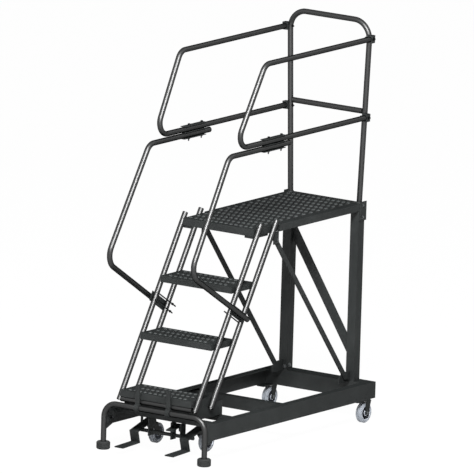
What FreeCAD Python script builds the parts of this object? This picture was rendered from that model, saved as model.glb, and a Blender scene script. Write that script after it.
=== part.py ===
import FreeCAD, Part
import math
import os

import Sketcher

os.makedirs("parts", exist_ok=True)
doc = FreeCAD.newDocument("work_platform")

# Driving sizes in millimetres and degrees.
# Lengths along Y are measured from the line between the two rubber feet, towards the rear.
SIZES = {
    # tube stock shared by the rails and stringers
    "tube_diameter": 27.0,
    "tube_wall": 2.0,
    "weld_gap": 0.2,
    # base
    "rail_outer_half": 299.0,
    "rail_height": 80.0,
    "rail_flange": 42.0,
    "rail_thickness": 4.0,
    "rail_underside": 115.0,
    "rail_front": 72.0,
    "base_rear": 1432.0,
    "rear_member_depth": 77.0,
    "mid_member_back": 731.0,
    "mid_member_depth": 40.0,
    "mid_member_height": 59.0,
    "front_member_front": 80.0,
    "front_member_depth": 50.0,
    "front_member_height": 22.0,
    "step_member_front": 250.0,
    "step_bracket_front": 40.0,
    "step_bracket_low": 202.0,
    # front leg and its feet
    "leg_half_spacing": 297.0,
    "leg_top": 228.0,
    "leg_bend": 70.0,
    "leg_end": 8.0,
    "foot_diameter": 67.0,
    "foot_height": 37.0,
    "gusset_length": 125.0,
    "gusset_drop": 22.0,
    "gusset_rise": 12.0,
    "gusset_slope": 23.0,
    "gusset_thickness": 5.0,
    # stairs
    "stringer_front": 16.0,
    "stringer_foot": 250.0,
    "stringer_slope": 31.1,
    "stringer_pair": 133.0,
    "stringer_over_deck": 21.0,
    "first_step": 302.0,
    "step_rise": 257.0,
    "step_front": 4.0,
    "step_depth": 180.0,
    "step_skirt": 32.0,
    "sheet_thickness": 3.0,
    # deck
    "deck_half_width": 222.0,
    "deck_front": 486.0,
    "deck_notch": 200.0,
    "deck_rear": 1403.0,
    "deck_skirt": 36.0,
    # rear posts and braces
    "post_size": 48.0,
    "post_wall": 3.0,
    "brace_width": 33.0,
    "brace_thickness": 8.0,
    "brace_top": 626.0,
    "brace_low": 1298.0,
    "brace_end": 211.0,
    "post_gusset_front": 1262.0,
    "post_gusset_top": 246.0,
    "post_gusset_corner": 26.0,
    "diagonal_width": 48.0,
    "diagonal_head": 885.0,
    "diagonal_foot": 349.0,
    # rear handrail
    "handrail_back": 1383.0,
    "handrail_top": 1970.0,
    "handrail_inset": 19.0,
    "handrail_spread": 33.0,
    "handrail_bend": 90.0,
    "handrail_seat": 60.0,
    "mid_rail_rise": 26.0,
    # guard rails
    "guard_outset": 16.0,
    "guard_top": 1889.0,
    "guard_mid": 1500.0,
    "guard_front_top": 485.0,
    "guard_front_low": 268.0,
    "guard_bend": 60.0,
    # stair handrails
    "joint_spacer": 2.6,
    "stair_rail_back": 725.0,
    "stair_rail_front": 225.5,
    "stair_rail_toe": -91.0,
    "stair_rail_toe_height": 940.0,
    "stair_rail_end_height": 652.0,
    "stair_rail_outset": 32.0,
    "stair_rail_bend": 60.0,
    "stair_rail_toe_bend": 75.0,
    # straps on the front leg
    "clamp_thickness": 3.2,
    "clamp_height": 38.0,
    "clamp_reach": 24.0,
    "joint_plate_length": 180.0,
    "joint_plate_back": 590.0,
    "stringer_plate_width": 50.0,
    "stringer_plate_thickness": 2.2,
    "strap_width": 25.0,
    "strap_thickness": 6.0,
    "strap_top": 340.0,
    "left_strap": -101.0,
    "right_strap": 80.0,
    "lug_diameter": 39.0,
    # casters
    "wheel_diameter": 100.0,
    "wheel_width": 30.0,
    "axle_diameter": 10.0,
    "running_gap": 0.05,
    "fork_gap": 5.0,
    "fork_thickness": 3.0,
    "fork_end": 11.0,
    "fork_width": 44.0,
    "fork_lean": 12.0,
    "caster_plate_front": 1283.0,
    "caster_plate_length": 109.0,
    "caster_plate_thickness": 5.0,
    "rear_wheel_half": 278.0,
    "rear_wheel_back": 1366.0,
    "caster_height": 133.0,
    "caster_trail": 22.0,
    "front_wheel_half": 147.5,
    # pedals
    "pivot_back": 85.0,
    "pivot_height": 104.0,
    "lock_angle": 16.0,
    "pivot_rod": 18.0,
    "pedal_width": 50.0,
    "pedal_thickness": 6.0,
    "pedal_elbow": 46.0,
    "pedal_drop": 64.0,
    "pedal_reach": 133.0,
    "pedal_lift": 33.0,
    "pedal_tail": 150.0,
    "caster_back": 105.0,
    "swivel_diameter": 46.0,
    "kingpin_diameter": 10.0,
    "kingpin_head": 4.0,
    "bracket_width": 40.0,
    "bracket_thickness": 6.0,
    "left_bracket": -80.0,
    "release_centre": 80.0,
    "release_width": 40.0,
    "release_side_gap": 5.0,
    "release_back": 95.0,
    "release_height": 158.0,
    "release_length": 86.0,
    "release_tilt": 12.0,
    "release_pin": 8.0,
    "latch_drop": 34.0,
    "latch_width": 12.0,
    "stop_across": -144.0,
    "stop_back": 100.0,
    "stop_height": 139.0,
    "stop_diameter": 13.0,
}

sheet = doc.addObject("Spreadsheet::Sheet", "Sizes")
for row, (alias, number) in enumerate(SIZES.items(), start=1):
    sheet.set(f"A{row}", alias)
    sheet.set(f"B{row}", str(number))
    sheet.setAlias(f"B{row}", alias)
doc.recompute()


class Size:
    """A length or angle that keeps both its number and the formula it comes from."""

    def __init__(self, number, formula):
        self.number = float(number)
        self.formula = formula

    def __add__(self, other):
        other = as_size(other)
        return Size(self.number + other.number, f"({self.formula} + {other.formula})")

    def __sub__(self, other):
        other = as_size(other)
        return Size(self.number - other.number, f"({self.formula} - {other.formula})")

    def __mul__(self, other):
        other = as_size(other)
        return Size(self.number * other.number, f"({self.formula} * {other.formula})")

    def __truediv__(self, other):
        other = as_size(other)
        return Size(self.number / other.number, f"({self.formula} / {other.formula})")

    def __neg__(self):
        return Size(-self.number, f"(0 - {self.formula})")

    __radd__ = __add__
    __rmul__ = __mul__

    def __rsub__(self, other):
        return as_size(other) - self


def as_size(value):
    if isinstance(value, Size):
        return value
    return Size(value, repr(float(value)))


def sine(angle):
    return Size(math.sin(math.radians(angle.number)), f"sin({angle.formula})")


def cosine(angle):
    return Size(math.cos(math.radians(angle.number)), f"cos({angle.formula})")


def tangent(angle):
    return Size(math.tan(math.radians(angle.number)), f"tan({angle.formula})")


def root(value):
    return Size(math.sqrt(value.number), f"sqrt({value.formula})")


def slope_angle(rise, run):
    angle = math.degrees(math.atan(rise.number / run.number))
    return Size(angle, f"(atan({rise.formula} / {run.formula}) / 1 deg)")


def cell(alias):
    return Size(float(sheet.get(alias)), f"Sizes.{alias}")


tube_diameter = cell("tube_diameter")
tube_radius = tube_diameter / 2
tube_wall = cell("tube_wall")
weld_gap = cell("weld_gap")
rail_outer_half = cell("rail_outer_half")
rail_height = cell("rail_height")
rail_flange = cell("rail_flange")
rail_thickness = cell("rail_thickness")
rail_underside = cell("rail_underside")
rail_top = rail_underside + rail_height
stair_rail_toe = cell("stair_rail_toe")
stair_rail_top = cell("guard_mid") - tube_diameter - 2 * weld_gap - cell("joint_spacer")
base_rear = cell("base_rear")
rear_member_front = base_rear - cell("rear_member_depth")
deck_top = cell("first_step") + 3 * cell("step_rise")
stringer_slope = cell("stringer_slope")
# The stringers stand in the planes of the deck's sides.
stringer_half_spacing = cell("deck_half_width")
between_stringers = stringer_half_spacing - tube_radius - weld_gap
guard_outset = cell("guard_outset")
handrail_half_foot = cell("deck_half_width") - cell("handrail_inset")
handrail_flare = slope_angle(cell("handrail_spread"), cell("handrail_top") - deck_top)

# The stair rail ends against the rear stringer.
stair_rail_end = (
    cell("stringer_front") + cell("stringer_pair")
    + (cell("stair_rail_end_height") - cell("stringer_foot")) * tangent(stringer_slope)
)
stair_rail_climb = slope_angle(
    stair_rail_top - cell("stair_rail_toe_height"),
    cell("stair_rail_front") - stair_rail_toe,
)
stair_rail_fall = slope_angle(
    cell("stair_rail_toe_height") - cell("stair_rail_end_height"),
    stair_rail_end - stair_rail_toe,
)
toe_half_angle = (stair_rail_climb + stair_rail_fall) / 2
toe_lean = (stair_rail_climb - stair_rail_fall) / 2
toe_rounding = cell("stair_rail_toe_bend") * (cosine(toe_lean) / sine(toe_half_angle) - 1)

# The origin is on the floor, midway between the foremost handrail bend and the rear of the base.
origin_back = (base_rear + stair_rail_toe + toe_rounding - tube_radius) / 2

nodes = []


def keep(piece):
    """Lists a finished piece, whose label names its file."""
    nodes.append(piece)
    return piece


def bind(target, values):
    for path, value in values.items():
        target.setExpression(path, as_size(value).formula)


def place(piece, across, back, up, axis=None, angle=None):
    """Puts a piece at its place, given from the feet line, and turns it about an axis there."""
    back = back - origin_back
    across, up = as_size(across), as_size(up)
    turn = FreeCAD.Rotation()
    if axis is not None:
        turn = FreeCAD.Rotation(FreeCAD.Vector(*axis), angle.number)
    base = FreeCAD.Vector(across.number, back.number, up.number)
    piece.Placement = FreeCAD.Placement(base, turn)
    bind(piece, {
        "Placement.Base.x": across,
        "Placement.Base.y": back,
        "Placement.Base.z": up,
    })
    if axis is not None:
        bind(piece, {"Placement.Rotation.Angle": angle})
    return piece


def new_body(name):
    body = doc.addObject("PartDesign::Body", name)
    body.Label = name
    return body


def sketch_on(body, role, name):
    sketch = body.newObject("Sketcher::SketchObject", name)
    plane = [feature for feature in body.Origin.OriginFeatures if feature.Role == role][0]
    sketch.AttachmentSupport = (plane, [""])
    sketch.MapMode = "FlatFace"
    return sketch


def point(pair):
    return FreeCAD.Vector(as_size(pair[0]).number, as_size(pair[1]).number, 0)


def fix_point(sketch, geometry, position, pair):
    """Holds a point of the sketch at its two distances from the sketch's origin."""
    for kind, value in (("DistanceX", as_size(pair[0])), ("DistanceY", as_size(pair[1]))):
        index = sketch.addConstraint(
            Sketcher.Constraint(kind, -1, 1, geometry, position, value.number)
        )
        sketch.setExpression(f"Constraints[{index}]", value.formula)


def draw_outline(sketch, corners):
    """Draws a closed outline with straight sides through the corners."""
    first = sketch.GeometryCount
    count = len(corners)
    for index in range(count):
        start, end = point(corners[index]), point(corners[(index + 1) % count])
        sketch.addGeometry(Part.LineSegment(start, end), False)
    for index in range(count):
        following = first + (index + 1) % count
        sketch.addConstraint(Sketcher.Constraint("Coincident", first + index, 2, following, 1))
        fix_point(sketch, first + index, 1, corners[index])


def draw_circle(sketch, centre, radius):
    middle = point(centre)
    circle = Part.Circle(middle, FreeCAD.Vector(0, 0, 1), as_size(radius).number)
    geometry = sketch.addGeometry(circle, False)
    fix_point(sketch, geometry, 3, centre)
    index = sketch.addConstraint(
        Sketcher.Constraint("Radius", geometry, as_size(radius).number)
    )
    sketch.setExpression(f"Constraints[{index}]", as_size(radius).formula)


def draw_ring(sketch, centre, outer, wall):
    draw_circle(sketch, centre, outer)
    draw_circle(sketch, centre, outer - wall)


def draw_route(sketch, corners, bends):
    """Draws straight runs through the corners, joined by tangent arcs of the given radii."""
    places = [point(corner) for corner in corners]
    cuts = []
    arcs = []
    for index in range(1, len(places) - 1):
        before = (places[index - 1] - places[index]).normalize()
        after = (places[index + 1] - places[index]).normalize()
        radius = as_size(bends[index - 1]).number
        half = before.getAngle(after) / 2
        reach = radius / math.tan(half)
        centre = places[index] + (before + after).normalize() * (radius / math.sin(half))
        entry = places[index] + before * reach
        leave = places[index] + after * reach
        turns_left = before.cross(after).z < 0
        begin, finish = (entry, leave) if turns_left else (leave, entry)
        angles = [math.atan2(spot.y - centre.y, spot.x - centre.x) for spot in (begin, finish)]
        if angles[1] < angles[0]:
            angles[1] += 2 * math.pi
        circle = Part.Circle(centre, FreeCAD.Vector(0, 0, 1), radius)
        arcs.append((Part.ArcOfCircle(circle, angles[0], angles[1]), turns_left))
        cuts.append((entry, leave))
    starts = [places[0]] + [leave for entry, leave in cuts]
    ends = [entry for entry, leave in cuts] + [places[-1]]
    runs = [
        sketch.addGeometry(Part.LineSegment(start, end), False)
        for start, end in zip(starts, ends)
    ]
    fix_point(sketch, runs[0], 1, corners[0])
    fix_point(sketch, runs[-1], 2, corners[-1])
    for index, (arc, turns_left) in enumerate(arcs):
        bend = sketch.addGeometry(arc, False)
        before, after = runs[index], runs[index + 1]
        entry_end, leave_end = (1, 2) if turns_left else (2, 1)
        sketch.addConstraint(Sketcher.Constraint("Tangent", before, 2, bend, entry_end))
        sketch.addConstraint(Sketcher.Constraint("Tangent", bend, leave_end, after, 1))
        radius = as_size(bends[index])
        held = sketch.addConstraint(Sketcher.Constraint("Radius", bend, radius.number))
        sketch.setExpression(f"Constraints[{held}]", radius.formula)
        corner = sketch.addGeometry(Part.Point(places[index + 1]), True)
        sketch.addConstraint(Sketcher.Constraint("PointOnObject", corner, 1, before))
        sketch.addConstraint(Sketcher.Constraint("PointOnObject", corner, 1, after))
        fix_point(sketch, corner, 1, corners[index + 1])


def pad(body, sketch, length, both_ways=False, reverse=False):
    feature = body.newObject("PartDesign::Pad", f"{body.Name}_pad")
    feature.Profile = sketch
    feature.Length = as_size(length).number
    feature.setExpression("Length", as_size(length).formula)
    feature.Midplane = both_ways
    feature.Reversed = reverse
    return feature


def plate(name, role, corners, thickness, both_ways=False, reverse=False, holes=()):
    """Makes a flat or folded piece of one outline, with round holes, as thick as asked."""
    body = new_body(name)
    outline = sketch_on(body, role, f"{name}_outline")
    draw_outline(outline, corners)
    for centre, radius in holes:
        draw_circle(outline, centre, radius)
    pad(body, outline, thickness, both_ways, reverse)
    return body


def straight_tube(name, role, length, both_ways=False, reverse=False):
    body = new_body(name)
    section = sketch_on(body, role, f"{name}_section")
    draw_ring(section, (0, 0), tube_radius, tube_wall)
    pad(body, section, length, both_ways, reverse)
    return body


def bent_tube(name, route_role, section_role, corners, bends):
    """Makes a tube along a route whose first corner is its start."""
    body = new_body(name)
    route = sketch_on(body, route_role, f"{name}_route")
    draw_route(route, corners, bends)
    section = sketch_on(body, section_role, f"{name}_section")
    start = corners[0] if section_role == "XY_Plane" else (0, 0)
    draw_ring(section, start, tube_radius, tube_wall)
    sweep = body.newObject("PartDesign::AdditivePipe", f"{name}_pipe")
    sweep.Profile = section
    doc.recompute()
    edges = [f"Edge{number + 1}" for number in range(len(route.Shape.Edges))]
    sweep.Spine = (route, edges)
    return body


def box(name, length, width, height):
    piece = doc.addObject("Part::Box", name)
    piece.Label = name
    bind(piece, {"Length": length, "Width": width, "Height": height})
    return piece


def mirrored(side, value):
    """Gives a distance across the platform its sign: -1 is the left side, 1 the right."""
    return side * as_size(value)


def side_rail(name, side):
    """An angle with its web outside and its flange turned in, its nose cut to meet the leg."""
    inner = -side * rail_flange
    web = -side * rail_thickness
    front = cell("rail_front")
    nose = tube_radius + weld_gap
    body = new_body(name)
    section = sketch_on(body, "XZ_Plane", f"{name}_section")
    draw_outline(section, [
        (0, 0), (web, 0), (web, rail_height - rail_thickness),
        (inner, rail_height - rail_thickness), (inner, rail_height), (0, rail_height),
    ])
    pad(body, section, rear_member_front - front, reverse=True)
    doc.recompute()
    end = sketch_on(body, "YZ_Plane", f"{name}_nose")
    draw_outline(end, [
        (nose - front, -cell("gusset_drop")), (0, 0), (0, rail_height),
        (nose - front, rail_height + cell("gusset_rise")),
    ])
    pad(body, end, rail_thickness, reverse=side > 0)
    return keep(place(body, mirrored(side, rail_outer_half), front, rail_underside))


def cross_member(name, half_length, front, depth, underside, height):
    """A channel across the base with its web at the front and its flanges to the rear."""
    skin = rail_thickness
    corners = [
        (0, 0), (depth, 0), (depth, skin), (skin, skin),
        (skin, height - skin), (depth, height - skin), (depth, height), (0, height),
    ]
    body = plate(name, "YZ_Plane", corners, half_length * 2, both_ways=True)
    return keep(place(body, 0, front, underside))


def rear_member():
    """The deep cross member under the posts, closed all round but at its back."""
    skin = rail_thickness
    half = rail_outer_half
    body = new_body("rear_crossmember")
    block = sketch_on(body, "XZ_Plane", "rear_crossmember_block")
    draw_outline(block, [(-half, 0), (half, 0), (half, rail_height), (-half, rail_height)])
    pad(body, block, cell("rear_member_depth"), reverse=True)
    doc.recompute()
    hollow = sketch_on(body, "XZ_Plane", "rear_crossmember_hollow")
    draw_outline(hollow, [
        (skin - half, skin), (half - skin, skin), (half - skin, rail_height - skin),
        (skin - half, rail_height - skin),
    ])
    hollow.AttachmentOffset = FreeCAD.Placement(
        FreeCAD.Vector(0, 0, -skin.number), FreeCAD.Rotation()
    )
    hollow.setExpression("AttachmentOffset.Base.z", (-skin).formula)
    cut = body.newObject("PartDesign::Pocket", "rear_crossmember_cut")
    cut.Profile = hollow
    cut.Length = cell("rear_member_depth").number
    cut.setExpression("Length", cell("rear_member_depth").formula)
    keep(place(body, 0, rear_member_front, rail_underside))


def base_frame():
    for name, side in (("left_side_rail", -1), ("right_side_rail", 1)):
        side_rail(name, side)
    inside = rail_outer_half - rail_thickness
    rear_member()
    cross_member(
        "mid_crossmember", inside, cell("mid_member_back"), cell("mid_member_depth"),
        rail_underside + rail_thickness, cell("mid_member_height"),
    )
    front_height = cell("front_member_height")
    cross_member(
        "front_crossmember", inside - cell("gusset_thickness") - weld_gap,
        cell("front_member_front"), cell("front_member_depth"),
        rail_top - rail_thickness - front_height, front_height,
    )
    cross_member(
        "step_crossmember", inside, cell("step_member_front"), cell("front_member_depth"),
        rail_top - rail_thickness - front_height, front_height,
    )
    step_bracket("left_step_bracket", -1)
    step_bracket("right_step_bracket", 1)


def step_bracket(name, side):
    """A plate under the end of the first tread, on two legs down to the cross members."""
    front = cell("step_bracket_front")
    low = cell("step_bracket_low")
    member_top = rail_top - rail_thickness
    first_leg = cell("front_member_front") - front
    second_leg = cell("step_member_front") - front
    leg = cell("front_member_depth")
    top = cell("first_step") - cell("step_skirt") - member_top
    base = low - member_top
    corners = [
        (0, base), (first_leg, base), (first_leg, 0), (first_leg + leg / 3, 0),
        (first_leg + leg / 3, base), (second_leg, base), (second_leg, 0),
        (second_leg + leg / 3, 0), (second_leg + leg / 3, top), (0, top),
    ]
    thickness = cell("gusset_thickness")
    body = plate(name, "YZ_Plane", corners, thickness, reverse=side > 0)
    return keep(place(body, mirrored(side, between_stringers), front, member_top))


def front_leg():
    half = cell("leg_half_spacing")
    height = cell("leg_top") - cell("leg_end")
    bend = cell("leg_bend")
    corners = [(-half, 0), (-half, height), (half, height), (half, 0)]
    body = bent_tube("front_leg_tube", "XZ_Plane", "XY_Plane", corners, [bend, bend])
    keep(place(body, 0, as_size(0), cell("leg_end")))
    for name, side in (("left_foot_tip", -1), ("right_foot_tip", 1)):
        foot_tip(name, mirrored(side, half))


def foot_tip(name, across):
    """A rubber cup with a round shoulder, pushed over the end of the leg."""
    body = new_body(name)
    section = sketch_on(body, "XZ_Plane", f"{name}_section")
    outer = cell("foot_diameter") / 2
    bore = tube_radius
    seat = cell("leg_end")
    height = cell("foot_height")
    edge = height / 8
    corners = [
        (0, 0), (outer - edge, 0), (outer, edge), (outer, height - edge),
        (outer - edge, height), (bore, height), (bore, seat), (0, seat),
    ]
    draw_outline(section, corners)
    turn = body.newObject("PartDesign::Revolution", f"{name}_turned")
    turn.Profile = section
    turn.ReferenceAxis = (section, ["V_Axis"])
    turn.Angle = 360
    return keep(place(body, across, as_size(0), 0))


def front_gussets(name, side):
    """A doubling plate inside the nose of the rail, its lower edge sloping up to the rear."""
    nose = tube_radius + weld_gap
    length = cell("gusset_length")
    low = cell("gusset_drop") / 3
    high = rail_height - rail_thickness
    corners = [
        (0, low), (low, low), (length, low + (length - low) * tangent(cell("gusset_slope"))),
        (length, high), (0, high),
    ]
    body = plate(name, "YZ_Plane", corners, cell("gusset_thickness"), reverse=side > 0)
    across = mirrored(side, rail_outer_half - rail_thickness)
    return keep(place(body, across, nose, rail_underside))


def stringers():
    slope = stringer_slope
    foot = cell("stringer_foot")
    length = (deck_top + cell("stringer_over_deck") - foot) / cosine(slope)
    for side_name, side in (("left", -1), ("right", 1)):
        for end_name, shift in (("front", as_size(0)), ("rear", cell("stringer_pair"))):
            name = f"{side_name}_{end_name}_stringer"
            body = straight_tube(name, "XY_Plane", length)
            keep(place(
                body, mirrored(side, stringer_half_spacing), cell("stringer_front") + shift,
                foot, axis=(-1, 0, 0), angle=slope,
            ))


def step_cross_tube():
    """The tube that joins the two front stringers at their feet."""
    half = between_stringers
    body = straight_tube("step_cross_tube", "YZ_Plane", half * 2, both_ways=True)
    keep(place(body, 0, cell("stringer_front"), cell("stringer_foot") + tube_radius / 2))


def tread(name, number):
    """A folded tread: a flat top with a skirt turned down on all four sides."""
    skin = cell("sheet_thickness")
    depth = cell("step_depth")
    skirt = cell("step_skirt")
    half = between_stringers
    body = new_body(name)
    top = sketch_on(body, "XY_Plane", f"{name}_top")
    draw_outline(top, [(-half, 0), (half, 0), (half, depth), (-half, depth)])
    pad(body, top, skirt, reverse=True)
    doc.recompute()
    hollow = sketch_on(body, "XY_Plane", f"{name}_hollow")
    draw_outline(hollow, [
        (skin - half, skin), (half - skin, skin),
        (half - skin, depth - skin), (skin - half, depth - skin),
    ])
    hollow.AttachmentOffset = FreeCAD.Placement(
        FreeCAD.Vector(0, 0, -skin.number), FreeCAD.Rotation()
    )
    hollow.setExpression("AttachmentOffset.Base.z", (-skin).formula)
    cut = body.newObject("PartDesign::Pocket", f"{name}_cut")
    cut.Profile = hollow
    cut.Length = skirt.number
    cut.setExpression("Length", skirt.formula)
    climb = number * cell("step_rise")
    back = cell("step_front") + climb * tangent(stringer_slope)
    return keep(place(body, 0, back, cell("first_step") + climb))


def deck():
    """The standing deck, folded like a tread and narrowed in front to pass the stringers."""
    skin = cell("sheet_thickness")
    skirt = cell("deck_skirt")
    front = as_size(0)
    rear = cell("deck_rear") - cell("deck_front")
    notch = cell("deck_notch")
    wide = cell("deck_half_width")
    narrow = between_stringers
    body = new_body("deck")
    top = sketch_on(body, "XY_Plane", "deck_top")
    draw_outline(top, [
        (-narrow, front), (narrow, front), (narrow, notch), (wide, notch),
        (wide, rear), (-wide, rear), (-wide, notch), (-narrow, notch),
    ])
    hole_back = cell("handrail_back") - cell("deck_front")
    for side in (-1, 1):
        hole_across = mirrored(side, handrail_half_foot)
        draw_circle(top, (hole_across, hole_back), tube_radius + 2 * weld_gap)
    pad(body, top, skirt, reverse=True)
    doc.recompute()
    hollow = sketch_on(body, "XY_Plane", "deck_hollow")
    draw_outline(hollow, [
        (skin - narrow, skin), (narrow - skin, skin), (narrow - skin, notch + skin),
        (wide - skin, notch + skin), (wide - skin, rear - skin), (skin - wide, rear - skin),
        (skin - wide, notch + skin), (skin - narrow, notch + skin),
    ])
    hollow.AttachmentOffset = FreeCAD.Placement(
        FreeCAD.Vector(0, 0, -skin.number), FreeCAD.Rotation()
    )
    hollow.setExpression("AttachmentOffset.Base.z", (-skin).formula)
    cut = body.newObject("PartDesign::Pocket", "deck_cut")
    cut.Profile = hollow
    cut.Length = skirt.number
    cut.setExpression("Length", skirt.formula)
    keep(place(body, 0, cell("deck_front"), deck_top))


def rear_post(name, side):
    """A square tube from the base up to the underside of the deck."""
    size = cell("post_size")
    wall = cell("post_wall")
    far = size - wall
    body = new_body(name)
    section = sketch_on(body, "XY_Plane", f"{name}_section")
    draw_outline(section, [(0, 0), (size, 0), (size, size), (0, size)])
    draw_outline(section, [(wall, wall), (far, wall), (far, far), (wall, far)])
    pad(body, section, deck_top - cell("deck_skirt") - rail_top)
    inner = cell("deck_half_width") - size
    across = inner if side > 0 else -cell("deck_half_width")
    return keep(place(body, across, cell("deck_rear") - size, rail_top))


def side_brace(name, side):
    """A flat bar down the inner side, from the deck to the gusset at the foot of the post."""
    width = cell("brace_width")
    rise = deck_top - cell("deck_skirt") - cell("brace_end")
    run = cell("brace_low") - cell("brace_top")
    corners = [(0, rise), (width, rise), (run + width, 0), (run, 0)]
    body = plate(name, "YZ_Plane", corners, cell("brace_thickness"), reverse=side > 0)
    return keep(place(
        body, mirrored(side, between_stringers), cell("brace_top"), cell("brace_end"),
    ))


def post_gusset(name, side):
    """The plate in front of the foot of the post that takes the lower end of the brace."""
    reach = cell("deck_rear") - cell("post_size") - cell("post_gusset_front")
    height = cell("post_gusset_top") - rail_top
    cut = cell("post_gusset_corner")
    corners = [(0, 0), (reach, 0), (reach, height), (cut, height), (0, height - cut)]
    body = plate(name, "YZ_Plane", corners, cell("gusset_thickness"), reverse=side > 0)
    brace_inside = between_stringers - cell("brace_thickness")
    across = mirrored(side, brace_inside - weld_gap)
    return keep(place(body, across, cell("post_gusset_front"), rail_top))


def rear_diagonal():
    """The flat bar across the back, from high on the left post to low on the right one."""
    size = cell("post_size")
    half = cell("deck_half_width") - size
    head, foot = cell("diagonal_head"), cell("diagonal_foot")
    reach = cell("diagonal_width") / cosine(slope_angle(head - foot, 2 * half)) / 2
    corners = [
        (-half, head - reach), (half, foot - reach), (half, foot + reach), (-half, head + reach),
    ]
    body = plate("rear_diagonal_brace", "XZ_Plane", corners, cell("brace_thickness"))
    keep(place(body, 0, cell("deck_rear") - size / 3, 0))


def rear_handrail():
    """One bent tube that flares outwards and upwards, its feet let into the rear posts."""
    foot = deck_top - cell("handrail_seat")
    foot_half = post_half_at(foot)
    top_half = handrail_half_foot + cell("handrail_spread")
    rise = cell("handrail_top") - foot
    bend = cell("handrail_bend")
    corners = [(-foot_half, 0), (-top_half, rise), (top_half, rise), (foot_half, 0)]
    body = bent_tube("rear_handrail", "XZ_Plane", "XY_Plane", corners, [bend, bend])
    keep(place(body, 0, cell("handrail_back"), foot))


def post_half_at(height):
    """How far out the flared handrail post stands at a height."""
    return handrail_half_foot + (height - deck_top) * tangent(handrail_flare)


def rear_mid_rail():
    height = cell("guard_mid") + cell("mid_rail_rise")
    half = post_half_at(height) - tube_radius - weld_gap
    body = straight_tube("rear_mid_rail", "YZ_Plane", half * 2, both_ways=True)
    keep(place(body, 0, cell("handrail_back"), height))


def guard_rail(name, side):
    """The loop beside the deck: top rail, sloping front and mid rail in one bent tube."""
    top = cell("guard_top")
    start = cell("handrail_back") - tube_radius - weld_gap
    bend = cell("guard_bend")
    mid = (cell("guard_mid") - top) / cosine(handrail_flare)
    front = cell("guard_front_top") - start
    toe = cell("guard_front_low") - start
    corners = [(0, 0), (front, 0), (toe, mid), (0, mid)]
    body = bent_tube(name, "YZ_Plane", "XZ_Plane", corners, [bend, bend])
    across = mirrored(side, post_half_at(top) + guard_outset * cosine(handrail_flare))
    return keep(place(
        body, across, start, top - guard_outset * sine(handrail_flare),
        axis=(0, side, 0), angle=handrail_flare,
    ))


def stair_rail(name, side):
    """The climbing rail: a short top run, the slope forwards and the run back to the stringer."""
    top = stair_rail_top
    start = cell("stair_rail_back")
    bends = [cell("stair_rail_bend"), cell("stair_rail_toe_bend")]
    toe = cell("stair_rail_toe") - start
    front = cell("stair_rail_front") - start
    toe_up = cell("stair_rail_toe_height") - top
    end = stair_rail_end - start
    end_up = cell("stair_rail_end_height") - top
    corners = [(0, 0), (front, 0), (toe, toe_up), (end, end_up)]
    body = bent_tube(name, "YZ_Plane", "XZ_Plane", corners, bends)
    return keep(place(
        body, mirrored(side, guard_half_at(cell("guard_mid"))), start, top,
        axis=(0, -side, 0), angle=stair_rail_lean(),
    ))


def guard_half_at(height):
    """How far out the guard rail stands at a height."""
    return post_half_at(height) + guard_outset / cosine(handrail_flare)


def stair_rail_lean():
    """The stair rail leans out towards its foot, to pass outside the stringers."""
    outward = stringer_half_spacing + cell("stair_rail_outset") - guard_half_at(cell("guard_mid"))
    return slope_angle(outward, stair_rail_top - cell("stair_rail_end_height"))


def post_clamp(name, side, height):
    """A saddle on the outer side of the handrail post, bored to take the guard rail's end."""
    half = cell("clamp_height") / 2
    bore = tube_radius + weld_gap
    wall = bore + cell("clamp_thickness") / 2
    middle = mirrored(side, guard_outset)
    body = new_body(name)
    block = sketch_on(body, "XZ_Plane", f"{name}_block")
    draw_outline(block, [
        (middle - wall, -half), (middle + wall, -half), (middle + wall, half),
        (middle - wall, half),
    ])
    block.AttachmentOffset = FreeCAD.Placement(
        FreeCAD.Vector(0, 0, -cell("clamp_thickness").number), FreeCAD.Rotation()
    )
    block.setExpression("AttachmentOffset.Base.z", (-cell("clamp_thickness")).formula)
    pad(body, block, cell("clamp_reach") + cell("clamp_thickness"))
    doc.recompute()
    for role, centre in (("XY_Plane", (0, 0)), ("XZ_Plane", (middle, 0))):
        opening = sketch_on(body, role, f"{name}_{role[:2].lower()}")
        draw_circle(opening, centre, bore)
        cut = body.newObject("PartDesign::Pocket", f"{name}_{role[:2].lower()}_bore")
        cut.Profile = opening
        cut.Type = "ThroughAll"
        cut.Midplane = True
        doc.recompute()
    return place(
        body, mirrored(side, post_half_at(height)), cell("handrail_back"), height,
        axis=(0, side, 0), angle=handrail_flare,
    )


def group(name, pieces):
    """Keeps like pieces of one side together as one node."""
    doc.recompute()
    bundle = doc.addObject("Part::Compound", name)
    bundle.Label = name
    bundle.Links = pieces
    return keep(bundle)


def joint_clamp(name, side):
    """Three flat bars over, between and under the guard rail and the top of the stair rail."""
    seat = tube_radius + weld_gap
    guard_run = cell("guard_mid") - guard_outset * sine(handrail_flare)
    thick = cell("clamp_thickness")
    length = cell("joint_plate_length")
    across = mirrored(side, guard_half_at(cell("guard_mid"))) - tube_radius
    between = stair_rail_top + seat
    levels = {
        "upper": (guard_run + seat, thick),
        "middle": (between, guard_run - seat - between),
        "lower": (stair_rail_top - seat - thick, thick),
    }
    bars = []
    for level, (height, depth) in levels.items():
        bar = box(f"{name}_{level}", tube_diameter, length, depth)
        bars.append(place(bar, across, cell("joint_plate_back") - length / 2, height))
    return group(name, bars)


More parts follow.
